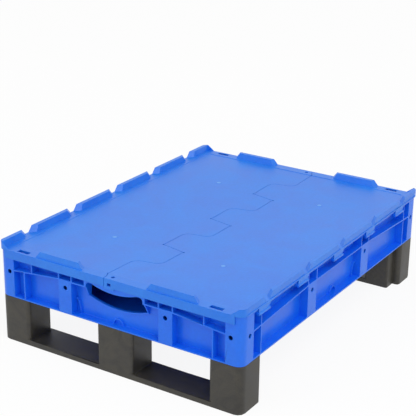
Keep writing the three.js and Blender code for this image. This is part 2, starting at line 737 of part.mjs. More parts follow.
// Ribs below the plate: a rest rib over the rim and stiffeners inside the body
function undersideRibs() {
  const top = lidUnderside + LID_THICKNESS / 2;
  const restY = halfWidth - REST_RIB_INSET;
  const restX = halfLength - REST_RIB_INSET;
  const rest = [BODY_HEIGHT + SEAT_GAP, top];
  const stiff = [lidUnderside - STIFFENER_DEPTH, top];
  const clear = SEAM_AMPLITUDE + SEAM_BEND_RADIUS / 2;
  const edgeX = halfLength - RECESS - WALL - STIFFENER_DEPTH;
  const half = STIFFENER / 2;
  return union([
    box([-restX, restX], [restY - REST_RIB, restY], rest),
    ...[-1, 1].map((end) => box(
      [end * restX - REST_RIB / 2, end * restX + REST_RIB / 2], [clear, restY], rest)),
    ...STIFFENER_X.map((x) => box([x - half, x + half], [clear, STIFFENER_EDGE], stiff)),
    box([-edgeX, edgeX], [STIFFENER_Y - half, STIFFENER_Y + half], stiff),
  ]);
}

// A hole for a seal, through the skirt of the lid and the band above the grip
function sealHole() {
  return box(
    [halfLength - RECESS - WALL - OVERSHOOT, lidHalfLength + OVERSHOOT],
    [-SEAL_HOLE_Y - SEAL_HOLE[0] / 2, -SEAL_HOLE_Y + SEAL_HOLE[0] / 2],
    [SEAL_HOLE_HEIGHT - SEAL_HOLE[1] / 2, SEAL_HOLE_HEIGHT + SEAL_HOLE[1] / 2]);
}

// Relief holes where corners of the other half point into this one, and a hole in the latch tongue
function plateHoles() {
  const heights = [lidUnderside - OVERSHOOT, lidTop + OVERSHOOT];
  const corners = [-SEAM_PERIOD, 0, SEAM_PERIOD].map((steep) => (
    [steep + SEAM_STEEP_HALF, SEAM_AMPLITUDE + SEAM_HOLE_SHIFT]
  ));
  const latchCorner = [-LATCH_X + LATCH_SLOPE, SEAM_AMPLITUDE];
  return union([
    ...[...corners, latchCorner].map((place) => (
      cylinderAlong('z', SEAM_HOLE_RADIUS, place, ...heights, 10)
    )),
    cylinderAlong('z', LATCH_HOLE.radius, [halfLength - LATCH_HOLE.inset, -LATCH_HOLE.y],
      ...heights, 16),
  ]);
}

// The half on the +Y side. The other half is the same moulding, turned half a turn.
function buildLidHalf() {
  const outline = roundedRectangle(lidHalfLength, lidHalfWidth, LID_CORNER, 5);
  const lidOutline = prismAlongZ(outline, 0, FAR);
  const side = prismAlongZ(
    [...offsetLeft(seamPath(), SEAM_GAP / 2), [FAR, FAR], [-FAR, FAR]], 0, FAR);
  const field = prismAlongZ(
    roundedRectangle(halfLength - FIELD_BORDER, halfWidth - FIELD_BORDER, CAVITY_CORNER, 3),
    lidTop - FIELD_STEP, lidTop + OVERSHOOT);
  const skirts = mirrorPair(endSkirt(), [1, 0, 0]);
  const plate = prismAlongZ(outline, lidUnderside, lidTop).add(union(skirts)).intersect(side);
  const ridges = edgeRidges.map(edgeRidge);
  const ends = mirrorPair(union([endRidge(), cornerGusset()]), [1, 0, 0]);
  const raised = union([...ridges, ...ends]).intersect(lidOutline);
  const hollows = [
    ...edgeRidges.map(edgeRidgeHollow),
    ...mirrorPair(endRidgeHollow(), [1, 0, 0]),
  ];
  const slotHeights = [lidUnderside - OVERSHOOT, lidTop + OVERSHOOT];
  const slots = slotPlaces.map(([x, y]) => rimSlot(x, y, slotHeights));
  const tabs = RIDGE_GAPS.map(hingeTab);
  return plate
    .subtract(field)
    .add(union([raised, undersideRibs(), ...tabs]))
    .subtract(union([...hollows, ...slots, sealHole(), plateHoles()]));
}

// Runners

// Plan outline of a block with its own radius at each corner, moved inwards by a distance
function blockOutline([x0, x1], [y0, y1], radii, inset) {
  const corners = [[x0, y0], [x1, y0], [x1, y1], [x0, y1]];
  return corners.flatMap(([x, y], i) => {
    const radius = radii[i];
    const centre = [x === x0 ? x + radius : x - radius, y === y0 ? y + radius : y - radius];
    const start = 180 + 90 * i;
    return arc(centre, radius - inset, start, start + 90, 3);
  });
}

// A post at the +Y side. The rear runner's post is deeper, but only behind a step in its outer face.
function sidePost(depth, step) {
  const front = -halfLength;
  const sideInner = halfWidth - POST_WIDTH;
  const flushRadii = [SIDE_POST_EDGE, POST_BACK_EDGE, step > 0 ? SIDE_POST_EDGE : POST_BACK_EDGE,
    RUNNER_CORNER];
  const flush = blockOutline(
    [front, front + RUNNER_DEPTH], [sideInner, halfWidth], flushRadii, 0);
  const deepRadii = [SIDE_POST_EDGE, POST_BACK_EDGE, POST_BACK_EDGE, SIDE_POST_EDGE];
  const deep = blockOutline([front, front + depth], [sideInner, halfWidth - step], deepRadii, 0);
  const outlines = step > 0 ? [flush, deep] : [flush];
  return union(outlines.map((outline) => prismAlongZ(outline, 0, RUNNER_HEIGHT)));
}

function buildRunner(depth, step) {
  const ends = [-halfLength, -halfLength + depth];
  const sideInner = halfWidth - POST_WIDTH;
  const half = MIDDLE_POST_WIDTH / 2;
  const boardEnd = sideInner + SIDE_POST_EDGE + OVERSHOOT;
  const board = box(ends, [-boardEnd, boardEnd], [0, RUNNER_BOARD]);
  const inside = [-OVERSHOOT, RUNNER_HEIGHT - POST_TOP];
  const roundedInside = prismAlongZ(roundedRectangle(
    halfLength - RUNNER_SHELL, halfWidth - RUNNER_SHELL, RUNNER_CORNER - RUNNER_SHELL, 3), ...inside);
  const sideRadii = [SIDE_POST_EDGE, POST_BACK_EDGE, POST_BACK_EDGE, SIDE_POST_EDGE];
  const middleRadii = [MIDDLE_POST_EDGE, POST_BACK_EDGE, POST_BACK_EDGE, MIDDLE_POST_EDGE];
  const sideHollow = prismAlongZ(
    blockOutline(ends, [sideInner, halfWidth - step], sideRadii, RUNNER_SHELL), ...inside);
  const boardHollow = box(
    [ends[0] + RUNNER_SHELL, ends[1] - RUNNER_SHELL],
    [half + RUNNER_SHELL, sideInner - RUNNER_SHELL],
    [-OVERSHOOT, BOARD_POCKET]);
  const hollows = [
    prismAlongZ(blockOutline(ends, [-half, half], middleRadii, RUNNER_SHELL), ...inside),
    ...mirrorPair(sideHollow.intersect(roundedInside), [0, 1, 0]),
    ...mirrorPair(boardHollow, [0, 1, 0]),
  ];
  const holes = screwPlaces.filter(([x]) => x < 0).map((place) => (
    cylinderAlong('z', SCREW_RADIUS + SCREW_CLEARANCE, place,
      RUNNER_HEIGHT - POST_TOP - OVERSHOOT, RUNNER_HEIGHT + OVERSHOOT, 10)
  ));
  const posts = [
    ...mirrorPair(sidePost(depth, step), [0, 1, 0]),
    prismAlongZ(blockOutline(ends, [-half, half], middleRadii, 0), 0, RUNNER_HEIGHT),
  ];
  return union([...posts, board]).subtract(union([...hollows, ...holes]));
}

// Pan-head screw, head down, with its head against the underside of the post's top
function screwGeometry() {
  const tip = POST_TOP + SEAT_GAP + SCREW_BITE;
  const profile = [
    [0, -SCREW_HEAD + DRIVE_DEPTH],
    [DRIVE_RADIUS, -SCREW_HEAD + DRIVE_DEPTH],
    [DRIVE_RADIUS * 1.2, -SCREW_HEAD],
    [SCREW_HEAD_RADIUS * 0.8, -SCREW_HEAD],
    [SCREW_HEAD_RADIUS, -SCREW_HEAD / 2],
    [SCREW_HEAD_RADIUS, 0],
    [SCREW_RADIUS, 0],
    [SCREW_RADIUS, tip - SCREW_POINT],
    [0, tip],
  ].map(([r, z]) => new THREE.Vector2(r, z));
  const geometry = new THREE.LatheGeometry(profile, 12);
  geometry.rotateX(Math.PI / 2);
  return solid(geometry);
}

// Scene graph

function addPiece(group, name, part, colour, roughness, metalness) {
  const { vertProperties, triVerts } = part.getMesh();
  const geometry = new THREE.BufferGeometry();
  geometry.setAttribute('position', new THREE.BufferAttribute(vertProperties, 3));
  geometry.setIndex(new THREE.BufferAttribute(triVerts, 1));
  geometry.computeVertexNormals();
  const material = new THREE.MeshStandardMaterial({ color: colour, roughness, metalness });
  const piece = new THREE.Mesh(geometry, material);
  piece.name = name;
  group.add(piece);
  return piece;
}

const container = new THREE.Group();

const upper = new THREE.Group();
upper.position.z = bodyZ;
container.add(upper);

addPiece(upper, 'container_body', buildBody(), BLUE, 0.45, 0);
const lidHalf = buildLidHalf();
addPiece(upper, 'lid_left', lidHalf, LID_BLUE, 0.5, 0);
const rightHalf = addPiece(upper, 'lid_right', lidHalf, LID_BLUE, 0.5, 0);
rightHalf.rotation.z = Math.PI;

addPiece(container, 'runner_front', buildRunner(RUNNER_DEPTH, 0), DARK_GREY, 0.6, 0);
const rear = addPiece(container, 'runner_rear', buildRunner(REAR_RUNNER_DEPTH, REAR_STEP),
  DARK_GREY, 0.6, 0);
rear.rotation.z = Math.PI;

const screw = screwGeometry();
screwPlaces.forEach(([x, y], i) => {
  const piece = addPiece(container, `runner_screw_${i + 1}`, screw, ZINC, 0.35, 1);
  piece.position.set(x, y, RUNNER_HEIGHT - POST_TOP - SEAT_GAP);
});

export default container;
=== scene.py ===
"""A stacking container of moulded plastic with a two-part hinged lid, on two runners."""

import math
import bmesh
import bpy
from mathutils import Matrix, Vector


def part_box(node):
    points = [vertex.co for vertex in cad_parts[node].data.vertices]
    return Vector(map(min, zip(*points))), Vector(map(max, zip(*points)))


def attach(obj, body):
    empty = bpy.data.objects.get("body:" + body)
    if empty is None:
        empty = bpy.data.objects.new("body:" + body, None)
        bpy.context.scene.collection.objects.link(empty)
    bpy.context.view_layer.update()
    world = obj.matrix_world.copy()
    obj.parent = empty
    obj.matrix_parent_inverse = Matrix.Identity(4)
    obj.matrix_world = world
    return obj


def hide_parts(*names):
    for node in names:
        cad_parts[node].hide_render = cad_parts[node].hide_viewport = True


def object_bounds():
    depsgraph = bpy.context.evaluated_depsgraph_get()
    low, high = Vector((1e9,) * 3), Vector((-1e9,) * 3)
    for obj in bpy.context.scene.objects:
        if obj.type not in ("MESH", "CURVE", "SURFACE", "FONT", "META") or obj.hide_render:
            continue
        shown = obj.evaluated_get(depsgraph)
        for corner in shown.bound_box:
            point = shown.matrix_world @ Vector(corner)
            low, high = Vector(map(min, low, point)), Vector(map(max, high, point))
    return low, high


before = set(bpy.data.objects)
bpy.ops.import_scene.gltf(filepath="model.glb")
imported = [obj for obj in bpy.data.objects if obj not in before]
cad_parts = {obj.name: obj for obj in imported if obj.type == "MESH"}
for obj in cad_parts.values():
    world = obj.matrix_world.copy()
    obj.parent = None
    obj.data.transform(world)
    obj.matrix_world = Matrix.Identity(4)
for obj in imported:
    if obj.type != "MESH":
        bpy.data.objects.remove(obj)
CAD_LOW, CAD_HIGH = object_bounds()

bl_info = {
    "name": "Stacking Container",
    "version": (1, 0, 0),
    "blender": (4, 5, 0),
    "location": "View3D > Sidebar > Container",
    "description": "Finishes a stacking container with a hinged lid and runners",
    "category": "Object",
}

MM = 0.001
SCREW_NODES = [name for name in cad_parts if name.startswith("runner_screw_")]
LID_SIDES = {"left": 1, "right": -1}
# The lid's material is the body's plastic in a paler, greyer colour: partly the lid's own shade,
# partly painted sheen for the brighter light on the top
LID_PLASTIC_WITH_PAINTED_SHEEN = "Moulded polypropylene, lid"

# Points closer than this are one point
MERGE_DISTANCE = 0.01 * MM
# Faces that turn by less than this are one face
FLAT_ANGLE = math.radians(0.4)
# Edges that turn by more than these are rounded, or shaded sharp
ROUNDED_ANGLE = math.radians(32)
SHARP_ANGLE = math.radians(50)
THREAD_SHARP_ANGLE = math.radians(45)

# Index of refraction
POLYPROPYLENE_IOR = 1.49
POLYETHYLENE_IOR = 1.51

# Screws: a tapered point, a thread cut to this share of the radius, and steps round and up a turn
SCREW_POINT = 3 * MM
SCREW_END_GAP = 0.3 * MM
THREAD_DEPTH = 0.24
SCREW_STEPS = 24
STEPS_PER_PITCH = 8

# Stage
FLOOR_GAP = 0.2 * MM
FLOOR_HALF_WIDTH = 30
SENSOR_WIDTH = 36
KEY_PLACE = (-1.2, -2.2, 3.2)
KEY_SIZE = 2.6
FILL_PLACE = (-2.8, 1.2, 1.8)
FILL_SIZE = 2.2
FILL_SHARE = 0.3


# Settings that a user would change

class BodySettings(bpy.types.PropertyGroup):
    """The ribbed container body"""

    colour: bpy.props.StringProperty(
        name="Colour", description="sRGB colour of the plastic, as hex", default="#0D6FF3")
    edge_radius: bpy.props.FloatProperty(
        name="Edge radius", description="Rounding of the moulded edges",
        default=0.45 * MM, unit="LENGTH")
    grain: bpy.props.FloatProperty(
        name="Grain", description="Width of the fine grain of the mould",
        default=0.9 * MM, unit="LENGTH")


class LidSettings(bpy.types.PropertyGroup):
    """The two halves of the lid"""

    # The default is paler and greyer than the body's colour: partly the lid's own shade, partly
    # painted sheen that stands in for the brighter light falling on the top
    colour: bpy.props.StringProperty(
        name="Colour", description="sRGB colour of the plastic, as hex", default="#1B7BEB")
    edge_radius: bpy.props.FloatProperty(
        name="Edge radius", description="Rounding of the moulded edges",
        default=0.4 * MM, unit="LENGTH")
    sag: bpy.props.FloatProperty(
        name="Sag", description="How far the middle of the closed lid hangs",
        default=7.6 * MM, unit="LENGTH")
    held_length: bpy.props.FloatProperty(
        name="Held length", description="Length between the rims that carry the lid",
        default=760 * MM, unit="LENGTH")
    held_width: bpy.props.FloatProperty(
        name="Held width", description="Width between the rims that carry the lid",
        default=560 * MM, unit="LENGTH")
    grid: bpy.props.FloatProperty(
        name="Grid", description="Spacing of the cuts that let the plate bend",
        default=24 * MM, unit="LENGTH")


class GateMarkSettings(bpy.types.PropertyGroup):
    """Round marks where the plastic entered the mould"""

    spacing: bpy.props.FloatProperty(
        name="Spacing", description="Distance between the two marks of a half",
        default=422 * MM, unit="LENGTH")
    offset: bpy.props.FloatProperty(
        name="Offset", description="Distance from the middle line of the container",
        default=138.3 * MM, unit="LENGTH")
    radius: bpy.props.FloatProperty(
        name="Radius", description="Radius of the ring round a mark",
        default=8 * MM, unit="LENGTH")


class RunnerSettings(bpy.types.PropertyGroup):
    """The two runners"""

    colour: bpy.props.StringProperty(
        name="Colour", description="sRGB colour of the plastic, as hex", default="#34312B")
    edge_radius: bpy.props.FloatProperty(
        name="Edge radius", description="Rounding of the moulded edges",
        default=1.2 * MM, unit="LENGTH")


class ScrewSettings(bpy.types.PropertyGroup):
    """The screws that hold the runners"""

    colour: bpy.props.StringProperty(
        name="Colour", description="sRGB colour of the plating, as hex", default="#C6C9CC")
    head_radius: bpy.props.FloatProperty(
        name="Head radius", description="Radius of the pan head", default=5 * MM, unit="LENGTH")
    head_height: bpy.props.FloatProperty(
        name="Head height", description="Height of the pan head", default=3 * MM, unit="LENGTH")
    thread_radius: bpy.props.FloatProperty(
        name="Thread radius", description="Outer radius of the thread",
        default=2.5 * MM, unit="LENGTH")
    thread_pitch: bpy.props.FloatProperty(
        name="Thread pitch", description="Rise of one turn", default=1.8 * MM, unit="LENGTH")
    pair_pitch: bpy.props.FloatProperty(
        name="Pair pitch", description="Distance between the two screws of a post",
        default=26 * MM, unit="LENGTH")


class StageSettings(bpy.types.PropertyGroup):
    """Camera, light and floor"""

    camera_place: bpy.props.FloatVectorProperty(
        name="Camera", description="Where the camera stands", size=3,
        default=(-2.0977, -1.2986, 1.1833), unit="LENGTH")
    camera_angles: bpy.props.FloatVectorProperty(
        name="Angles", description="Heading from +X, tilt above the horizon, and roll", size=3,
        default=(math.radians(32.433), math.radians(-20.977), math.radians(0.717)), unit="ROTATION")
    lens: bpy.props.FloatProperty(
        name="Lens", description="Focal length on a 36 mm sensor", default=102.25, min=1)
    world_light: bpy.props.FloatProperty(
        name="World light", description="Strength of the even light from all round", default=0.72)
    key_light: bpy.props.FloatProperty(
        name="Key light", description="Power of the large lamp above", default=42, unit="POWER")
    shadow_share: bpy.props.FloatProperty(
        name="Shadow share", description="How dark the shadow on the floor looks",
        default=0.1, min=0, max=1)


# Node and mesh helpers

def add_node(tree, kind, inputs=None, **settings):
    """Adds a node with its settings. An input is given a value, or the socket that feeds it."""
    node = tree.nodes.new(kind)
    for name, value in settings.items():
        setattr(node, name, value)
    for name, value in (inputs or {}).items():
        socket = node.inputs[name]
        if isinstance(value, bpy.types.NodeSocket):
            tree.links.new(value, socket)
        else:
            socket.default_value = value
    return node


def linear(colour):
    """An sRGB hex colour as linear RGBA."""
    channels = [int(colour[i:i + 2], 16) / 255 for i in (1, 3, 5)]
    return (*[c / 12.92 if c <= 0.04045 else ((c + 0.055) / 1.055) ** 2.4 for c in channels], 1)


def mixed(colour, other, share):
    """The first hex colour with a share of the second, as hex."""
    pairs = [(int(colour[i:i + 2], 16), int(other[i:i + 2], 16)) for i in (1, 3, 5)]
    return "#" + "".join(f"{round(a + (b - a) * share):02X}" for a, b in pairs)


def new_object(name, data):
    """An object in the scene with the mesh, lamp or camera data given."""
    piece = bpy.data.objects.new(name, data)
    bpy.context.scene.collection.objects.link(piece)
    return piece


def merged_copy(node, name):
    """A copy of a CAD node with its loose triangles joined into one even skin."""
    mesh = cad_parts[node].data.copy()
    mesh.name = name
    mesh.materials.clear()
    form = bmesh.new()
    form.from_mesh(mesh)
    bmesh.ops.remove_doubles(form, verts=form.verts, dist=MERGE_DISTANCE)
    bmesh.ops.dissolve_limit(form, angle_limit=FLAT_ANGLE, verts=form.verts, edges=form.edges)
    bmesh.ops.triangulate(form, faces=form.faces, ngon_method="BEAUTY")
    form.to_mesh(mesh)
    form.free()
    return new_object(name, mesh)


def apply_modifiers(piece):
    """Replaces the object's mesh by the result of its modifiers."""
    depsgraph = bpy.context.evaluated_depsgraph_get()
    mesh = bpy.data.meshes.new_from_object(piece.evaluated_get(depsgraph), depsgraph=depsgraph)
    old = piece.data
    piece.modifiers.clear()
    piece.data = mesh
    mesh.name = piece.name
    bpy.data.meshes.remove(old)


def round_edges(piece, radius, segments=2):
    """Rounds the edges of the moulding with a bevel."""
    bevel = piece.modifiers.new("Rounded edges", "BEVEL")
    bevel.width = radius
    bevel.segments = segments
    bevel.limit_method = "ANGLE"
    bevel.angle_limit = ROUNDED_ANGLE
    bevel.use_clamp_overlap = False
    bevel.miter_outer = "MITER_ARC"
    apply_modifiers(piece)


def smooth(piece):
    """Shades flat faces flat and rounded edges round."""
    piece.data.shade_smooth()
    piece.data.set_sharp_from_angle(angle=SHARP_ANGLE)
    weighted = piece.modifiers.new("Weighted normals", "WEIGHTED_NORMAL")
    weighted.keep_sharp = True
    apply_modifiers(piece)


def finish_piece(piece, material, body, slot, *nodes):
    """Gives a piece its material and its body, and hides the CAD nodes that it stands for. The slot
    is not used.
    """
    if material is not None:
        piece.data.materials.clear()
        piece.data.materials.append(material)
    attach(piece, body)
    if nodes:
        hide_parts(*nodes)


def set_input(modifier, name, value):
    """Sets an input of a Geometry Nodes modifier by its socket's identifier."""
    sockets = modifier.node_group.interface.items_tree
    socket = next(s for s in sockets if s.name == name and s.in_out == "INPUT")
    modifier[socket.identifier] = value


def new_tree(name, inputs):
    """An empty Geometry Nodes tree with the inputs given as (name, socket type)."""
    tree = bpy.data.node_groups.new(name, "GeometryNodeTree")
    tree.interface.new_socket("Geometry", in_out="OUTPUT", socket_type="NodeSocketGeometry")
    for socket_name, kind in inputs:
        tree.interface.new_socket(socket_name, in_out="INPUT", socket_type=kind)
    return tree, tree.nodes.new("NodeGroupInput"), tree.nodes.new("NodeGroupOutput")


def run_tree(name, tree, values):
    """Runs a tree on an empty object and returns the object with the plain result."""
    piece = new_object(name, bpy.data.meshes.new(name))
    modifier = piece.modifiers.new(tree.name, "NODES")
    modifier.node_group = tree
    for socket_name, value in values.items():
        set_input(modifier, socket_name, value)
    apply_modifiers(piece)
    return piece


def skin_rings(name, rings):
    """A closed smooth mesh through rings of points. A pole is a ring of one point."""
    form = bmesh.new()
    rows = [[form.verts.new(point) for point in ring] for ring in rings]
    steps = max(len(row) for row in rows)
    for lower, upper in zip(rows, rows[1:]):
        for i in range(steps):
            j = (i + 1) % steps
            corners = [lower[i % len(lower)], lower[j % len(lower)],
                       upper[j % len(upper)], upper[i % len(upper)]]
            form.faces.new(list(dict.fromkeys(corners)))
    bmesh.ops.recalc_face_normals(form, faces=form.faces)
    mesh = bpy.data.meshes.new(name)
    form.to_mesh(mesh)
    form.free()
    mesh.shade_smooth()
    return mesh


def ring_of(radii, height):
    """Points round the Z axis, one for each radius."""
    angles = [2 * math.pi * i / len(radii) for i in range(len(radii))]
    return [(r * math.cos(a), r * math.sin(a), height) for r, a in zip(radii, angles)]


def lathe(name, profile, steps):
    """A closed turned form, from a profile of (radius, height) that runs from pole to pole."""
    return skin_rings(name, [
        ring_of([radius] * (steps if radius else 1), height) for radius, height in profile])


# Materials

def object_pattern(tree, kind, size, inputs):
    """A texture node on Object coordinates, with spots of about the size given."""
    coordinates = add_node(tree, "ShaderNodeTexCoord")
    place = {"Vector": coordinates.outputs["Object"], "Scale": 1 / size}
    return add_node(tree, kind, {**place, **inputs})


def start_material(name):
    """An empty material and its node tree."""
    material = bpy.data.materials.new(name)
    material.use_nodes = True
    tree = material.node_tree
    tree.nodes.clear()
    return material, tree


def moulded_polypropylene(name, colour, grain, roughness):
    """Injection moulded polypropylene: satin, with a fine sparked grain and faint flow marks."""
    material, tree = start_material(name)
    # Flow marks and uneven cooling give soft clouds a few centimetres wide
    clouds = object_pattern(
        tree, "ShaderNodeTexNoise", 70 * MM, {"Detail": 3, "Roughness": 0.55, "Distortion": 0.6})
    # Pigment is spread unevenly at about the size of the granules
    pigment = object_pattern(tree, "ShaderNodeTexNoise", 6 * MM, {"Detail": 2})
    cloud_share = add_node(tree, "ShaderNodeMapRange", {
        "Value": clouds.outputs["Fac"], "From Min": 0.35, "From Max": 0.65})
    tint = add_node(tree, "ShaderNodeMix", {
        0: cloud_share.outputs["Result"],
        6: linear(mixed(colour, "#0038B0", 0.07)),
        7: linear(mixed(colour, "#FFFFFF", 0.035)),
    }, data_type="RGBA")
    speckle = add_node(tree, "ShaderNodeMapRange", {
        "Value": pigment.outputs["Fac"], "From Min": 0.3, "From Max": 0.7,
        "To Min": 0.965, "To Max": 1.03})
    tone = add_node(tree, "ShaderNodeVectorMath", {
        0: tint.outputs[2], 1: speckle.outputs["Result"]}, operation="MULTIPLY")
    gloss = add_node(tree, "ShaderNodeMapRange", {
        "Value": clouds.outputs["Fac"], "From Min": 0.3, "From Max": 0.7,
        "To Min": roughness - 0.04, "To Max": roughness + 0.05})
    # The grain of the mould
    fine = object_pattern(tree, "ShaderNodeTexNoise", grain, {"Detail": 2, "Roughness": 0.6})
    grained = add_node(tree, "ShaderNodeBump", {
        "Height": fine.outputs["Fac"], "Strength": 0.16, "Distance": 0.05 * MM})
    # Sink marks and slight warping that only show in the sheen
    waves = object_pattern(tree, "ShaderNodeTexNoise", 45 * MM, {"Detail": 1})
    warped = add_node(tree, "ShaderNodeBump", {
        "Height": waves.outputs["Fac"], "Strength": 0.22, "Distance": 0.5 * MM,
        "Normal": grained.outputs["Normal"]})
    shader = add_node(tree, "ShaderNodeBsdfPrincipled", {
        "Base Color": tone.outputs["Vector"],
        "Roughness": gloss.outputs["Result"],
        "IOR": POLYPROPYLENE_IOR,
        "Normal": warped.outputs["Normal"],
    })
    add_node(tree, "ShaderNodeOutputMaterial", {"Surface": shader.outputs["BSDF"]})
    return material


def recycled_polyethylene(name, colour):
    """Moulded recycled polyethylene: dull dark grey, with faint swirls of other batches."""
    material, tree = start_material(name)
    # Streaks where the melt of mixed scrap folded over in the mould
    swirls = object_pattern(
        tree, "ShaderNodeTexNoise", 50 * MM, {"Detail": 4, "Roughness": 0.6, "Distortion": 1.8})
    # Crumbs of other colours
    specks = object_pattern(tree, "ShaderNodeTexNoise", 2.5 * MM, {"Detail": 2})
    swirl_share = add_node(tree, "ShaderNodeMapRange", {
        "Value": swirls.outputs["Fac"], "From Min": 0.35, "From Max": 0.65})
    tint = add_node(tree, "ShaderNodeMix", {
        0: swirl_share.outputs["Result"],
        6: linear(mixed(colour, "#1B1B1D", 0.22)),
        7: linear(mixed(colour, "#8A8474", 0.14)),
    }, data_type="RGBA")
    speck_tone = add_node(tree, "ShaderNodeMapRange", {
        "Value": specks.outputs["Fac"], "From Min": 0.3, "From Max": 0.72,
        "To Min": 0.86, "To Max": 1.12})
    tone = add_node(tree, "ShaderNodeVectorMath", {
        0: tint.outputs[2], 1: speck_tone.outputs["Result"]}, operation="MULTIPLY")
    gloss = add_node(tree, "ShaderNodeMapRange", {
        "Value": swirls.outputs["Fac"], "From Min": 0.3, "From Max": 0.7,
        "To Min": 0.38, "To Max": 0.54})
    # A coarse mould surface, drawn about twice as coarse as the real one so that it shows
    fine = object_pattern(tree, "ShaderNodeTexNoise", 1.6 * MM, {"Detail": 3, "Roughness": 0.65})
    rough = add_node(tree, "ShaderNodeBump", {
        "Height": fine.outputs["Fac"], "Strength": 0.3, "Distance": 0.12 * MM})
    shader = add_node(tree, "ShaderNodeBsdfPrincipled", {
        "Base Color": tone.outputs["Vector"],
        "Roughness": gloss.outputs["Result"],
        "IOR": POLYETHYLENE_IOR,
        "Normal": rough.outputs["Normal"],
    })
    add_node(tree, "ShaderNodeOutputMaterial", {"Surface": shader.outputs["BSDF"]})
    return material


def zinc_plated_steel(name, colour):
    """Bright zinc plating on steel: pale metal with a slightly uneven, cloudy sheen."""
    material, tree = start_material(name)
    # The passivated plating shifts between straw and blue
    clouds = object_pattern(tree, "ShaderNodeTexNoise", 2 * MM, {"Detail": 3})
    tint = add_node(tree, "ShaderNodeMix", {
        0: clouds.outputs["Fac"],
        6: linear(mixed(colour, "#A8A68C", 0.25)),
        7: linear(mixed(colour, "#BCD0E4", 0.25)),
    }, data_type="RGBA")
    gloss = add_node(tree, "ShaderNodeMapRange", {
        "Value": clouds.outputs["Fac"], "To Min": 0.24, "To Max": 0.42})
    shader = add_node(tree, "ShaderNodeBsdfPrincipled", {
        "Base Color": tint.outputs[2],
        "Metallic": 1,
        "Roughness": gloss.outputs["Result"],
    })
    add_node(tree, "ShaderNodeOutputMaterial", {"Surface": shader.outputs["BSDF"]})
    return material


def stress_whitened_polypropylene(name, colour):
    """Polypropylene torn at the gate: the same plastic, paler and rougher where it stretched."""
    material, tree = start_material(name)
    # Fibres of the tear, each paler where it was pulled further
    tears = object_pattern(tree, "ShaderNodeTexNoise", 1.2 * MM, {"Detail": 2})
    tint = add_node(tree, "ShaderNodeMix", {
        0: tears.outputs["Fac"],
        6: linear(mixed(colour, "#FFFFFF", 0.16)),
        7: linear(mixed(colour, "#FFFFFF", 0.5)),
    }, data_type="RGBA")
    torn = add_node(tree, "ShaderNodeBump", {
        "Height": tears.outputs["Fac"], "Strength": 0.5, "Distance": 0.15 * MM})
    shader = add_node(tree, "ShaderNodeBsdfPrincipled", {
        "Base Color": tint.outputs[2],
        "Roughness": 0.62,
        "IOR": POLYPROPYLENE_IOR,
        "Normal": torn.outputs["Normal"],
    })
    add_node(tree, "ShaderNodeOutputMaterial", {"Surface": shader.outputs["BSDF"]})
    return material


# Container body

class CONTAINER_OT_body(bpy.types.Operator):
    """Make the container body with rounded moulded edges"""

    bl_idname = "container.make_body"
    bl_label = "Body"

    def execute(self, context):
        settings = context.scene.container_body
        shell = merged_copy("container_body", "body_shell")
        round_edges(shell, settings.edge_radius)
        smooth(shell)
        plastic = moulded_polypropylene(
            "Moulded polypropylene, body", settings.colour, settings.grain, 0.34)
        finish_piece(shell, plastic, "base", "body_blue", "container_body")
        return {"FINISHED"}


# Lid

def sag_at(settings, x, y):
    """How far the closed lid hangs at a place: most in the middle, nothing over the rims."""
    along = abs(x) / (settings.held_length / 2)
    across = abs(y) / (settings.held_width / 2)
    if along >= 1 or across >= 1:
        return 0
    return settings.sag * math.cos(along * math.pi / 2) * math.cos(across * math.pi / 2)


def bend_lid(piece, settings):
    """Cuts the plate on a grid and lets it hang between the rims."""
    form = bmesh.new()
    form.from_mesh(piece.data)
    for axis, held in ((0, settings.held_length), (1, settings.held_width)):
        normal = Vector((axis == 0, axis == 1, 0))
        cuts = round(held / settings.grid)
        for i in range(cuts + 1):
            place = normal * (held * (i / cuts - 0.5))
            everything = form.verts[:] + form.edges[:] + form.faces[:]
            bmesh.ops.bisect_plane(
                form, geom=everything, dist=MERGE_DISTANCE, plane_co=place, plane_no=normal)
    for vert in form.verts:
        vert.co.z -= sag_at(settings, vert.co.x, vert.co.y)
    form.to_mesh(piece.data)
    form.free()


class CONTAINER_OT_lid(bpy.types.Operator):
    """Make both lid halves, with rounded edges and a slight sag"""

    bl_idname = "container.make_lid"
    bl_label = "Lid halves"

    def execute(self, context):
        settings = context.scene.container_lid
        # The paler lid colour is partly the lid's own shade and partly painted sheen for the light
        # on its top
        plastic = moulded_polypropylene(
            LID_PLASTIC_WITH_PAINTED_SHEEN, settings.colour, context.scene.container_body.grain, 0.36)
        for side in LID_SIDES:
            half = merged_copy(f"lid_{side}", f"lid_half_{side}")
            round_edges(half, settings.edge_radius)
            bend_lid(half, settings)
            smooth(half)
            finish_piece(half, plastic, f"{side}_lid", "lid_blue", f"lid_{side}")
        return {"FINISHED"}


# Gate marks on the lid

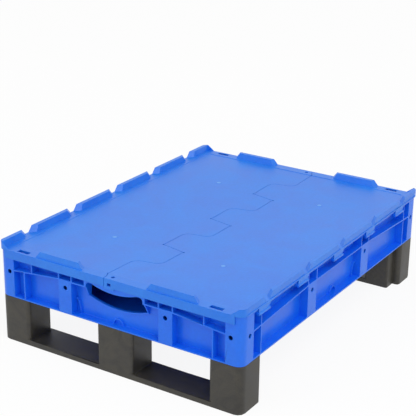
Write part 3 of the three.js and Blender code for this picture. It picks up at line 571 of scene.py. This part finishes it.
def gate_mark_tree():
    """Two marks in a line, dropped on the lid and turned to its surface."""
    tree, given, result = new_tree("Gate marks", [
        ("Lid", "NodeSocketObject"),
        ("Nub", "NodeSocketObject"),
        ("Ring", "NodeSocketObject"),
        ("Spacing", "NodeSocketFloat"),
        ("Offset", "NodeSocketFloat"),
        ("Height", "NodeSocketFloat"),
        ("Torn plastic", "NodeSocketMaterial"),
        ("Plastic", "NodeSocketMaterial"),
    ])
    half = add_node(tree, "ShaderNodeMath", {
        0: given.outputs["Spacing"], 1: -0.5}, operation="MULTIPLY")
    start = add_node(tree, "ShaderNodeCombineXYZ", {
        "X": half.outputs[0], "Y": given.outputs["Offset"], "Z": given.outputs["Height"]})
    step = add_node(tree, "ShaderNodeCombineXYZ", {"X": given.outputs["Spacing"]})
    line = add_node(tree, "GeometryNodeMeshLine", {
        "Count": 2, "Start Location": start.outputs[0], "Offset": step.outputs[0]})
    lid = add_node(tree, "GeometryNodeObjectInfo", {"Object": given.outputs["Lid"]})
    drop = add_node(tree, "GeometryNodeRaycast", {
        "Target Geometry": lid.outputs["Geometry"],
        "Ray Direction": (0, 0, -1),
        "Ray Length": 0.1,
    })
    turn = add_node(tree, "FunctionNodeAlignRotationToVector", {
        "Vector": drop.outputs["Hit Normal"]}, axis="Z")
    stored = add_node(tree, "GeometryNodeStoreNamedAttribute", {
        "Geometry": line.outputs["Mesh"], "Name": "turn", "Value": turn.outputs["Rotation"],
    }, data_type="QUATERNION", domain="POINT")
    landed = add_node(tree, "GeometryNodeSetPosition", {
        "Geometry": stored.outputs["Geometry"], "Position": drop.outputs["Hit Position"]})
    turned = add_node(
        tree, "GeometryNodeInputNamedAttribute", {"Name": "turn"}, data_type="QUATERNION")
    joined = add_node(tree, "GeometryNodeJoinGeometry")
    for shape, material in (("Nub", "Torn plastic"), ("Ring", "Plastic")):
        form = add_node(tree, "GeometryNodeObjectInfo", {"Object": given.outputs[shape]})
        placed = add_node(tree, "GeometryNodeInstanceOnPoints", {
            "Points": landed.outputs["Geometry"],
            "Instance": form.outputs["Geometry"],
            "Rotation": turned.outputs["Attribute"],
        })
        real = add_node(tree, "GeometryNodeRealizeInstances", {
            "Geometry": placed.outputs["Instances"]})
        finished = add_node(tree, "GeometryNodeSetMaterial", {
            "Geometry": real.outputs["Geometry"], "Material": given.outputs[material]})
        tree.links.new(finished.outputs["Geometry"], joined.inputs["Geometry"])
    tree.links.new(joined.outputs["Geometry"], result.inputs["Geometry"])
    return tree


class CONTAINER_OT_gate_marks(bpy.types.Operator):
    """Make the round gate marks on the lid"""

    bl_idname = "container.make_gate_marks"
    bl_label = "Gate marks"

    def execute(self, context):
        settings = context.scene.container_gate_marks
        radius = settings.radius
        sunk = -0.3 * MM
        # The torn stub of plastic in the middle, and the raised ring round it
        nub = new_object("gate_nub", lathe("gate_nub", [
            (0, sunk), (0.62 * radius, sunk), (0.6 * radius, 0.12 * MM), (0.36 * radius, 0.25 * MM),
            (0.14 * radius, 0.45 * MM), (0, 0.4 * MM)], 24))
        ring = new_object("gate_ring", lathe("gate_ring", [
            (0, sunk), (radius, sunk), (radius, 0.02 * MM), (0.94 * radius, 0.22 * MM),
            (0.84 * radius, 0.24 * MM), (0.76 * radius, 0.08 * MM), (0, 0.05 * MM)], 36))
        colour = context.scene.container_lid.colour
        torn = stress_whitened_polypropylene("Stress-whitened polypropylene", colour)
        plastic = bpy.data.materials[LID_PLASTIC_WITH_PAINTED_SHEEN]
        tree = gate_mark_tree()
        for side, sign in LID_SIDES.items():
            marks = run_tree(f"gate_marks_{side}", tree, {
                "Lid": bpy.data.objects[f"lid_half_{side}"],
                "Nub": nub,
                "Ring": ring,
                "Spacing": settings.spacing,
                "Offset": sign * settings.offset,
                "Height": CAD_HIGH.z,
                "Torn plastic": torn,
                "Plastic": plastic,
            })
            finish_piece(marks, None, f"{side}_lid", "lid_blue")
        for pattern in (nub, ring):
            bpy.data.objects.remove(pattern)
        return {"FINISHED"}


# Runners

class CONTAINER_OT_runners(bpy.types.Operator):
    """Make both runners with their worn, rounded edges"""

    bl_idname = "container.make_runners"
    bl_label = "Runners"

    def execute(self, context):
        settings = context.scene.container_runners
        plastic = recycled_polyethylene("Recycled polyethylene", settings.colour)
        for end in ("front", "rear"):
            runner = merged_copy(f"runner_{end}", f"{end}_runner")
            round_edges(runner, settings.edge_radius, 3)
            smooth(runner)
            finish_piece(runner, plastic, "base", "runner_grey", f"runner_{end}")
        return {"FINISHED"}


# Runner screws

def screw_mesh(settings, length):
    """A pan-head screw, head down and thread up, with the seat of its head at height 0."""
    head = settings.head_radius
    height = settings.head_height
    # Drive recess, rounded pan head, and the seat in to the core of the thread
    profile = [
        (0, -0.45 * height), (0.24 * head, -0.45 * height), (0.38 * head, -height),
        (0.72 * head, -height), (0.92 * head, -0.82 * height), (head, -0.45 * height),
        (head, 0), (0.8 * settings.thread_radius, 0)]
    pitch = settings.thread_pitch
    rise = pitch / STEPS_PER_PITCH
    rows = [(radius, z, 0) for radius, z in profile]
    for i in range(1, int((length - SCREW_END_GAP) / rise)):
        z = i * rise
        taper = min(1, (length - z) / SCREW_POINT)
        rows.append((settings.thread_radius * taper, z, THREAD_DEPTH * taper))
    rows.append((0, length, 0))
    rings = []
    for radius, z, depth in rows:
        steps = SCREW_STEPS if radius else 1
        waves = [abs(2 * ((z / pitch - i / SCREW_STEPS) % 1) - 1) for i in range(steps)]
        rings.append(ring_of([radius * (1 - depth * wave) for wave in waves], z))
    mesh = skin_rings("runner_screw", rings)
    mesh.set_sharp_from_angle(angle=THREAD_SHARP_ANGLE)
    return mesh


def screw_grid_tree():
    """Pairs of screws on a grid of two runners by three posts."""
    tree, given, result = new_tree("Runner screws", [
        ("Screw", "NodeSocketObject"),
        ("Length", "NodeSocketFloat"),
        ("Width", "NodeSocketFloat"),
        ("Pair pitch", "NodeSocketFloat"),
        ("Height", "NodeSocketFloat"),
        ("Metal", "NodeSocketMaterial"),
    ])
    grid = add_node(tree, "GeometryNodeMeshGrid", {
        "Size X": given.outputs["Length"], "Size Y": given.outputs["Width"],
        "Vertices X": 2, "Vertices Y": 3})
    back = add_node(tree, "ShaderNodeMath", {
        0: given.outputs["Pair pitch"], 1: -0.5}, operation="MULTIPLY")
    start = add_node(tree, "ShaderNodeCombineXYZ", {
        "Y": back.outputs[0], "Z": given.outputs["Height"]})
    step = add_node(tree, "ShaderNodeCombineXYZ", {"Y": given.outputs["Pair pitch"]})
    pair = add_node(tree, "GeometryNodeMeshLine", {
        "Count": 2, "Start Location": start.outputs[0], "Offset": step.outputs[0]})
    screw = add_node(tree, "GeometryNodeObjectInfo", {"Object": given.outputs["Screw"]})
    in_pair = add_node(tree, "GeometryNodeInstanceOnPoints", {
        "Points": pair.outputs["Mesh"], "Instance": screw.outputs["Geometry"]})
    on_grid = add_node(tree, "GeometryNodeInstanceOnPoints", {
        "Points": grid.outputs["Mesh"], "Instance": in_pair.outputs["Instances"]})
    real = add_node(tree, "GeometryNodeRealizeInstances", {
        "Geometry": on_grid.outputs["Instances"]})
    finished = add_node(tree, "GeometryNodeSetMaterial", {
        "Geometry": real.outputs["Geometry"], "Material": given.outputs["Metal"]})
    tree.links.new(finished.outputs["Geometry"], result.inputs["Geometry"])
    return tree


class CONTAINER_OT_screws(bpy.types.Operator):
    """Make the threaded screws that hold the runners"""

    bl_idname = "container.make_screws"
    bl_label = "Runner screws"

    def execute(self, context):
        settings = context.scene.container_screws
        boxes = [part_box(name) for name in SCREW_NODES]
        low = Vector(min(box[0][i] for box in boxes) for i in range(3))
        high = Vector(max(box[1][i] for box in boxes) for i in range(3))
        seat = low.z + settings.head_height
        screw = new_object("screw_pattern", screw_mesh(settings, high.z - seat))
        screws = run_tree("runner_screws", screw_grid_tree(), {
            "Screw": screw,
            "Length": high.x - low.x - 2 * settings.head_radius,
            "Width": high.y - low.y - 2 * settings.head_radius - settings.pair_pitch,
            "Pair pitch": settings.pair_pitch,
            "Height": seat,
            "Metal": zinc_plated_steel("Zinc-plated steel", settings.colour),
        })
        bpy.data.objects.remove(screw)
        finish_piece(screws, None, "base", "screw_zinc", *SCREW_NODES)
        return {"FINISHED"}


# Stage

def add_lamp(name, place, target, size, power):
    """A round soft lamp that points at the target."""
    data = bpy.data.lights.new(name, "AREA")
    data.shape = "DISK"
    data.size = size
    data.energy = power
    lamp = new_object(name, data)
    lamp.location = place
    lamp.rotation_euler = (Vector(target) - Vector(place)).to_track_quat("-Z", "Y").to_euler()


def camera_matrix(place, angles):
    """The camera's matrix, from its place and its heading, tilt and roll."""
    heading, tilt, roll = angles
    forward = Vector((
        math.cos(heading) * math.cos(tilt), math.sin(heading) * math.cos(tilt), math.sin(tilt)))
    level_right = Vector((math.sin(heading), -math.cos(heading), 0))
    level_up = level_right.cross(forward)
    right = level_right * math.cos(roll) + level_up * math.sin(roll)
    up = level_up * math.cos(roll) - level_right * math.sin(roll)
    turn = Matrix((right, up, -forward)).transposed()
    return Matrix.Translation(place) @ turn.to_4x4()


def seen_directly(tree):
    """A socket that is 1 where the camera, a reflection or a clear material looks."""
    path = add_node(tree, "ShaderNodeLightPath")
    opaque = add_node(tree, "ShaderNodeMath", {
        0: path.outputs["Is Camera Ray"], 1: path.outputs["Is Glossy Ray"]}, operation="MAXIMUM")
    seen = add_node(tree, "ShaderNodeMath", {
        0: opaque.outputs[0], 1: path.outputs["Is Transmission Ray"]}, operation="MAXIMUM")
    return seen.outputs[0]


def background_world(strength):
    """Even white light, with a white background where the camera and reflections look."""
    world = bpy.data.worlds.new("Studio")
    world.use_nodes = True
    tree = world.node_tree
    tree.nodes.clear()
    level = add_node(tree, "ShaderNodeMapRange", {
        "Value": seen_directly(tree), "To Min": strength, "To Max": 1})
    light = add_node(tree, "ShaderNodeBackground", {
        "Color": linear("#FFFFFF"), "Strength": level.outputs["Result"]})
    add_node(tree, "ShaderNodeOutputWorld", {"Surface": light.outputs["Background"]})
    return world


def floor_paper(shadow_share):
    """White backdrop paper, matt. It looks white, with a faint shadow of the object."""
    material, tree = start_material("Backdrop paper")
    paper = add_node(tree, "ShaderNodeBsdfDiffuse", {"Color": linear("#F4F4F4"), "Roughness": 1})
    shadow = add_node(tree, "ShaderNodeBsdfDiffuse", {
        "Color": (shadow_share, shadow_share, shadow_share, 1), "Roughness": 1})
    white = add_node(tree, "ShaderNodeEmission", {
        "Color": linear("#FFFFFF"), "Strength": 1 - shadow_share})
    lit = add_node(tree, "ShaderNodeAddShader", {0: white.outputs[0], 1: shadow.outputs[0]})
    shader = add_node(tree, "ShaderNodeMixShader", {
        0: seen_directly(tree), 1: paper.outputs[0], 2: lit.outputs[0]})
    add_node(tree, "ShaderNodeOutputMaterial", {"Surface": shader.outputs[0]})
    return material


class CONTAINER_OT_stage(bpy.types.Operator):
    """Make the pale floor, the soft light and the camera"""

    bl_idname = "container.make_stage"
    bl_label = "Stage"

    def execute(self, context):
        settings = context.scene.container_stage
        scene = context.scene
        scene.view_settings.view_transform = "Standard"
        scene.world = background_world(settings.world_light)
        floor_mesh = bpy.data.meshes.new("floor")
        form = bmesh.new()
        bmesh.ops.create_grid(form, x_segments=1, y_segments=1, size=FLOOR_HALF_WIDTH)
        form.to_mesh(floor_mesh)
        form.free()
        floor = new_object("floor", floor_mesh)
        floor.location.z = CAD_LOW.z - FLOOR_GAP
        floor_mesh.materials.append(floor_paper(settings.shadow_share))
        middle = (CAD_LOW + CAD_HIGH) / 2
        fill_light = settings.key_light * FILL_SHARE
        add_lamp("key_light", KEY_PLACE, middle, KEY_SIZE, settings.key_light)
        add_lamp("fill_light", FILL_PLACE, middle, FILL_SIZE, fill_light)
        camera_data = bpy.data.cameras.new("camera")
        camera_data.sensor_width = SENSOR_WIDTH
        camera_data.lens = settings.lens
        camera = new_object("camera", camera_data)
        camera.matrix_world = camera_matrix(Vector(settings.camera_place), settings.camera_angles)
        scene.camera = camera
        return {"FINISHED"}


# Panel and registration

STEPS = [
    ("container_body", BodySettings, CONTAINER_OT_body),
    ("container_lid", LidSettings, CONTAINER_OT_lid),
    ("container_gate_marks", GateMarkSettings, CONTAINER_OT_gate_marks),
    ("container_runners", RunnerSettings, CONTAINER_OT_runners),
    ("container_screws", ScrewSettings, CONTAINER_OT_screws),
    ("container_stage", StageSettings, CONTAINER_OT_stage),
]


class CONTAINER_PT_panel(bpy.types.Panel):
    """Lists the pieces with their settings"""

    bl_idname = "CONTAINER_PT_panel"
    bl_label = "Stacking Container"
    bl_space_type = "VIEW_3D"
    bl_region_type = "UI"
    bl_category = "Container"

    def draw(self, context):
        for name, settings, operator in STEPS:
            group = self.layout.box()
            group.operator(operator.bl_idname)
            for key in settings.__annotations__:
                group.prop(getattr(context.scene, name), key)


def register():
    for name, settings, operator in STEPS:
        bpy.utils.register_class(settings)
        bpy.utils.register_class(operator)
        setattr(bpy.types.Scene, name, bpy.props.PointerProperty(type=settings))
    bpy.utils.register_class(CONTAINER_PT_panel)


def unregister():
    bpy.utils.unregister_class(CONTAINER_PT_panel)
    for name, settings, operator in reversed(STEPS):
        delattr(bpy.types.Scene, name)
        bpy.utils.unregister_class(operator)
        bpy.utils.unregister_class(settings)


def main():
    """Makes every piece and the stage."""
    register()
    for _, _, operator in STEPS:
        category, action = operator.bl_idname.split(".")
        getattr(getattr(bpy.ops, category), action)()


if __name__ == "__main__":
    main()
